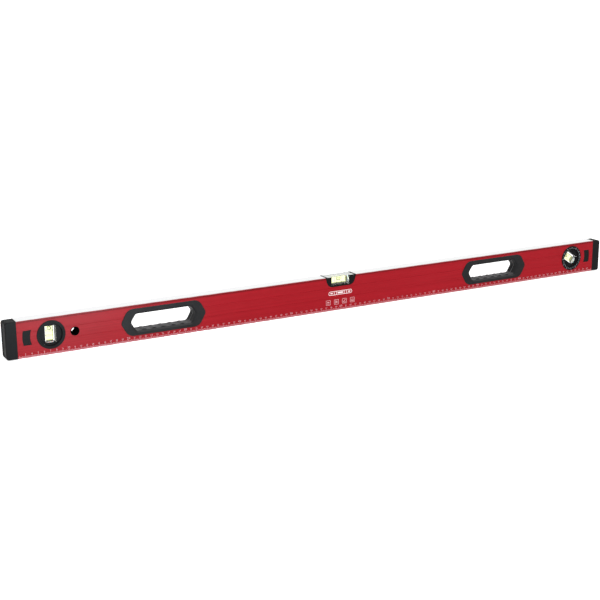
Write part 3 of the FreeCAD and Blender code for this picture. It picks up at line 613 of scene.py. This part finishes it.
def make_vial(name, site, block, look, tube, bubble, body, bubble_body):
    """A whole vial.

    block is the block's size, tube the tube's radius, half length and middle along the block, and
    bubble the bubble's place along the tube, its lift, half length and radius.
    """
    tube_radius, tube_half, middle = tube
    place, lift, half, radius = bubble
    vial_block(name, site, block, look, body)
    vial_liquid(name, site, middle, tube_half, tube_radius, BARREL_CROWN, body)
    vial_bubble(name, site, middle + place, lift, half, radius, bubble_body)
    vial_stopper(name, site, middle + tube_half + FILL_CLEARANCE, block[0] / 2 - FILL_CLEARANCE,
                 tube_radius, body)
    gap = half + LINE_CLEARANCE
    vial_lines(name, site, (middle - gap, middle + gap), tube_radius, LINE_WIDTH, body)


# ---------------------------------------------------------------- printing

INK_BACK = FACE_Y + 0.00001
INK_FRONT = FACE_Y - 0.00005


def glyphs(characters):
    """Each character of the built-in font as a flat mesh, 1 high, with its width."""
    made = {}
    for character in characters:
        curve = bpy.data.curves.new("glyph", "FONT")
        curve.body = character
        curve.size = 1.0
        curve.resolution_u = 3
        holder = bpy.data.objects.new("glyph", curve)
        bpy.context.scene.collection.objects.link(holder)
        bpy.context.view_layer.update()
        solved = holder.evaluated_get(bpy.context.evaluated_depsgraph_get())
        mesh = bpy.data.meshes.new_from_object(solved)
        points = [vert.co.copy() for vert in mesh.vertices]
        low = min(point.x for point in points)
        high = max(point.x for point in points)
        base = min(point.y for point in points)
        tall = max(point.y for point in points) - base
        faces = [tuple(face.vertices) for face in mesh.polygons]
        flat = [Vector(((point.x - low) / tall, (point.y - base) / tall)) for point in points]
        made[character] = (flat, faces, (high - low) / tall)
        bpy.data.objects.remove(holder)
        bpy.data.curves.remove(curve)
        bpy.data.meshes.remove(mesh)
    return made


LETTER_GAP = 0.22  # between characters, as a share of their height


def write(maker, text, to_place, height, font):
    """Add a centred word; to_place maps an offset (across, up) from its centre to a point."""
    widths = [font[character][2] * height for character in text]
    gap = LETTER_GAP * height
    across = -(sum(widths) + gap * (len(text) - 1)) / 2
    for character, width in zip(text, widths):
        points, faces, _ = font[character]
        verts = [maker.verts.new(to_place(across + point.x * height, (point.y - 0.5) * height))
                 for point in points]
        for face in faces:
            maker.faces.new([verts[index] for index in face])
        across += width + gap


def thicken(maker, step):
    """Give flat printed faces the thickness of ink."""
    made = bmesh.ops.extrude_face_region(maker, geom=list(maker.faces))
    moved = [item for item in made["geom"] if isinstance(item, bmesh.types.BMVert)]
    bmesh.ops.translate(maker, vec=step, verts=moved)


def face_print(x, z):
    """Places for write() on the painted front, round the point (x, z)."""
    return lambda across, up: Vector((x + across, INK_BACK, z + up))


SCALE_END = 0.6  # the scale counts from this far left of the origin
SCALE_LENGTH_MM = 1200
SCALE_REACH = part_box("frame_profile")[1].x - 0.001
TICK_LOW = 0.0013
CENTIMETRE_TICK, HALF_TICK, MILLIMETRE_TICK = 0.0044, 0.0038, 0.0030
CENTIMETRE_TICK_WIDTH, TICK_WIDTH = 0.00036, 0.00030
NUMBER_LOW = 0.0060
TEN_TALL, NUMBER_TALL = 0.0036, 0.0026
NUMBER_MARGIN = 0.003


def make_scale():
    """A centimetre scale along the bottom edge: millimetre ticks and a number at each centimetre."""
    maker = bmesh.new()
    for tick in range(1, SCALE_LENGTH_MM):
        x = tick * MM - SCALE_END
        if abs(x) > SCALE_REACH:
            continue
        length, width = MILLIMETRE_TICK, TICK_WIDTH
        if tick % 10 == 0:
            length, width = CENTIMETRE_TICK, CENTIMETRE_TICK_WIDTH
        elif tick % 5 == 0:
            length = HALF_TICK
        plain_slab(maker, (x - width / 2, INK_FRONT, TICK_LOW),
                   (x + width / 2, INK_BACK, TICK_LOW + length))
    finished("scale_ticks", maker, SCALE_INK)
    maker = bmesh.new()
    for number in range(1, SCALE_LENGTH_MM // 10):
        x = number * 10 * MM - SCALE_END
        if abs(x) > SCALE_REACH - NUMBER_MARGIN:
            continue
        tall = TEN_TALL if number % 10 == 0 else NUMBER_TALL
        write(maker, str(number), face_print(x, NUMBER_LOW + tall / 2), tall, FONT)
    thicken(maker, (0, INK_FRONT - INK_BACK, 0))
    finished("scale_numbers", maker, NUMBER_INK)


def outline_band(maker, points, width):
    """Add a closed printed line of even width along a loop of (across, up) points."""
    count = len(points)
    inner, outer = [], []
    for k, point in enumerate(points):
        before, after = points[k - 1], points[(k + 1) % count]
        along = (Vector(after) - Vector(before)).normalized()
        side = Vector((along.y, -along.x)) * width / 2
        inner.append(maker.verts.new((point[0] - side.x, INK_BACK, point[1] - side.y)))
        outer.append(maker.verts.new((point[0] + side.x, INK_BACK, point[1] + side.y)))
    for k in range(count):
        following = (k + 1) % count
        maker.faces.new((inner[k], inner[following], outer[following], outer[k]))


def filled(maker, points):
    """Add a flat printed shape with these corners."""
    maker.faces.new([maker.verts.new((x, INK_BACK, z)) for x, z in points])


def round_box(x, z, width, height, radius):
    """Corner points of a rounded rectangle, anticlockwise from the lower right."""
    steps = 5
    points = []
    for k, (sx, sz) in enumerate(((1, -1), (1, 1), (-1, 1), (-1, -1))):
        cx = x + sx * (width / 2 - radius)
        cz = z + sz * (height / 2 - radius)
        for step in range(steps + 1):
            a = math.radians(-90 + 90 * k + 90 * step / steps)
            points.append((cx + radius * math.cos(a), cz + radius * math.sin(a)))
    return points


def bar(maker, start, end, width):
    """Add a straight printed bar between two (across, up) points."""
    start, end = Vector(start), Vector(end)
    along = (end - start).normalized()
    side = Vector((-along.y, along.x)) * width / 2
    filled(maker, [tuple(start - side), tuple(end - side), tuple(end + side), tuple(start + side)])


def make_centre_mark():
    """A plain drawing of a vial with its bubble, in white on the front."""
    maker = bmesh.new()
    x, z = -0.0012, 0.0323
    stroke, bar_half = 0.0010, 0.0026
    outline_band(maker, round_box(x, z, 0.047, 0.0062, 0.0026), stroke)
    filled(maker, round_box(x, z, 0.0115, 0.0030, 0.0014))
    for side in (-1, 1):
        for offset in (0.0080, 0.0125):
            across = x + side * offset
            bar(maker, (across, z - bar_half), (across, z + bar_half), stroke)
        filled(maker, round_box(x + side * 0.0180, z, 0.0050, 0.0022, 0.0007))
    thicken(maker, (0, INK_FRONT - INK_BACK, 0))
    finished("centre_mark", maker, MARK_INK)


def make_symbols():
    """Four plain signs: level, plumb, any angle and scale."""
    maker = bmesh.new()
    size, z = 0.0086, 0.0160
    spacing, shift = 0.0165, 0.0011
    half, stroke = size / 2, 0.0009
    for k in range(4):
        x = (k - 1.5) * spacing - shift
        outline_band(maker, round_box(x, z, size, size, 0.0012), 0.0007)
        if k == 0:
            bar(maker, (x - half * 0.65, z - half * 0.45), (x + half * 0.65, z - half * 0.45), stroke)
            filled(maker, round_box(x, z + half * 0.2, size * 0.5, size * 0.22, 0.0008))
        elif k == 1:
            bar(maker, (x - half * 0.45, z - half * 0.65), (x - half * 0.45, z + half * 0.65), stroke)
            filled(maker, round_box(x + half * 0.2, z, size * 0.22, size * 0.5, 0.0008))
        elif k == 2:
            bar(maker, (x - half * 0.62, z - half * 0.55), (x + half * 0.62, z - half * 0.55), stroke)
            bar(maker, (x - half * 0.55, z - half * 0.45), (x + half * 0.5, z + half * 0.6), stroke)
        else:
            bar(maker, (x - half * 0.65, z - half * 0.5), (x + half * 0.65, z - half * 0.5), 0.0008)
            for n in range(5):
                across = x + (n - 2) * half * 0.3
                top = z + half * (0.5 if n % 2 == 0 else 0.1)
                bar(maker, (across, z - half * 0.4), (across, top), 0.0005)
    thicken(maker, (0, INK_FRONT - INK_BACK, 0))
    finished("symbols", maker, FAINT_INK)


RING_INNER = 0.0194
RING_NUMBERS = 0.0223
RING_BACK = RIM_FRONT + 0.00001
RING_FRONT = RIM_FRONT - 0.00004
RING_NUMBER_TALL = 0.0013


def ring_point(radius, angle, y):
    """A point on the turning vial's face; the angle runs from the top, turning to +X."""
    return Vector((TURN_CENTRE.x + radius * math.sin(angle), y,
                   TURN_CENTRE.z + radius * math.cos(angle)))


def make_degree_ring():
    """Marks every 5 degrees round the fixed ring, and a number every 30."""
    maker = bmesh.new()
    for degree in range(0, 360, 5):
        angle = math.radians(degree)
        length = 0.0018 if degree % 15 == 0 else 0.0011
        half = 0.00022 if degree % 15 == 0 else 0.00014
        side = Vector((math.cos(angle), 0, -math.sin(angle))) * half
        inner = ring_point(RING_INNER, angle, RING_BACK)
        outer = ring_point(RING_INNER + length, angle, RING_BACK)
        corners = [inner - side, outer - side, outer + side, inner + side]
        maker.faces.new([maker.verts.new(corner) for corner in corners])
    for degree in range(0, 360, 30):
        angle = math.radians(degree)
        shown = str(min(degree % 180, 180 - degree % 180))

        def to_place(across, up, angle=angle):
            turned = angle + across / RING_NUMBERS
            return ring_point(RING_NUMBERS + up, turned, RING_BACK)

        write(maker, shown, to_place, RING_NUMBER_TALL, FONT)
    thicken(maker, (0, RING_FRONT - RING_BACK, 0))
    finished("degree_marks", maker, RING_INK)


# ---------------------------------------------------------------- the whole scene

make_camera()
make_floor()
make_world()
make_lights()

CLEAR = clear_acrylic("clear_acrylic", 0.0)
HAZY_CLEAR = clear_acrylic("hazy_acrylic", 0.5)
SPIRIT = inner_glass("spirit", (0.96, 0.98, 0.75), (0.945, 0.97, 0.67), 0.94, (0.90, 0.92, 0.50))
AIR = inner_glass("air_in_spirit", (0.99, 1.0, 0.97), (0.97, 0.99, 0.94), 0.72, None)
MILKY = milky_plastic()
# painted shade: a dark material at the stopper's inner end stands in for the dark refraction band where
# it meets the block
JOINT_SHADE = black_plastic("joint_with_painted_shade", 0.020, 0.25, 2400, 0.10, specular=0.3)
LINE_INK = printed_ink("line_ink", (0.012, 0.012, 0.012), (0.03, 0.03, 0.03))
RING_INK = printed_ink("ring_ink", (0.40, 0.43, 0.46), (0.08, 0.08, 0.09))
MARK_INK = printed_ink("mark_ink", (0.80, 0.66, 0.67), (0.58, 0.26, 0.28))
SCALE_INK = printed_ink("scale_ink", (0.62, 0.34, 0.37), (0.44, 0.14, 0.17))
NUMBER_INK = printed_ink("number_ink", (0.58, 0.30, 0.33), (0.42, 0.12, 0.14))
FAINT_INK = printed_ink("faint_ink", (0.60, 0.32, 0.34), (0.42, 0.12, 0.14))
FRAME_COAT = painted_frame()
RUBBER = black_plastic("cap_rubber", 0.009, 0.50, 2600, 0.25, specular=0.04, wear=0.015)
# the grip gets a lighter parting line and painted light on the faces that turn up
GRIP = black_plastic("grip_plastic", 0.015, 0.46, 3400, 0.30, specular=0.06, seam_and_lit_top=0.0006)
HOLDER = black_plastic("holder_plastic", 0.008, 0.36, 4200, 0.10, specular=0.04, wear=0.01)
# painted shade: the bushes are black plastic made darker and without gloss, standing in for the shade
# inside the hang hole
SHADED_BUSH = black_plastic("bush_plastic_painted_shade", 0.002, 0.85, 3400, 0.20, specular=0.0, wear=0.006)
HOUSING_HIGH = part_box("centre_vial_housing")[1]
# painted reflection: the housing's top faces are painted pale up to this height and reach
TOP_REFLECTION = (HOUSING_HIGH.z - 0.0002, HOUSING_HIGH.x - 0.0042)
HOUSING = black_plastic("housing_plastic", 0.004, 0.36, 4200, 0.10, specular=0.08, wear=0.01,
                        painted_top_reflection=TOP_REFLECTION)
STEEL = plated_steel()
STRIP = bright_strip()
FONT = glyphs("0123456789")

MATERIAL_OF = {"red_frame": FRAME_COAT, "cap_rubber": RUBBER, "grip_plastic": GRIP,
               "holder_plastic": HOLDER, "clear_block": CLEAR, "stopper_plastic": MILKY,
               "liquid": SPIRIT, "bubble": AIR, "reading_lines": LINE_INK, "reflector": STRIP,
               "screw_steel": STEEL}
OWN_LOOK = {"hang_hole_front_bush": SHADED_BUSH, "hang_hole_rear_bush": SHADED_BUSH,
            "centre_vial_housing": HOUSING}
for part in frame["record"]["subparts"]:
    node = NODES[part["node"]]
    look = OWN_LOOK.get(part["node"], MATERIAL_OF[part["material_slot"]])
    if not node.material_slots:
        node.data.materials.append(None)
    for slot in node.material_slots:
        slot.link = "OBJECT"
        slot.material = look

END_BLOCK = (0.0286, 0.0170, 0.0190)
TOP_BLOCK = (0.0378, 0.0216, 0.0164)
PLUMB_TUBE = (0.0060, 0.0114, -0.0006)
TURN_TUBE = (0.0060, 0.0094, -0.0026)
TOP_TUBE = (0.0055, 0.0146, -0.0008)
PLUMB_BUBBLE = (-0.0074, 0.0, 0.0034, 0.0036)
TURN_BUBBLE = (-0.0054, 0.0, 0.0034, 0.0036)
TOP_BUBBLE = (0.0, 0.0023, 0.0045, 0.0025)
make_vial("plumb_vial", PLUMB_SITE, END_BLOCK, CLEAR, PLUMB_TUBE, PLUMB_BUBBLE,
          body="level", bubble_body="plumb_bubble")
make_vial("turning_vial", TURN_SITE, END_BLOCK, CLEAR, TURN_TUBE, TURN_BUBBLE,
          body="turning_vial", bubble_body="turning_bubble")
make_vial("centre_vial", TOP_SITE, TOP_BLOCK, HAZY_CLEAR, TOP_TUBE, TOP_BUBBLE,
          body="level", bubble_body="centre_bubble")
make_scale()
make_centre_mark()
make_symbols()
make_degree_ring()
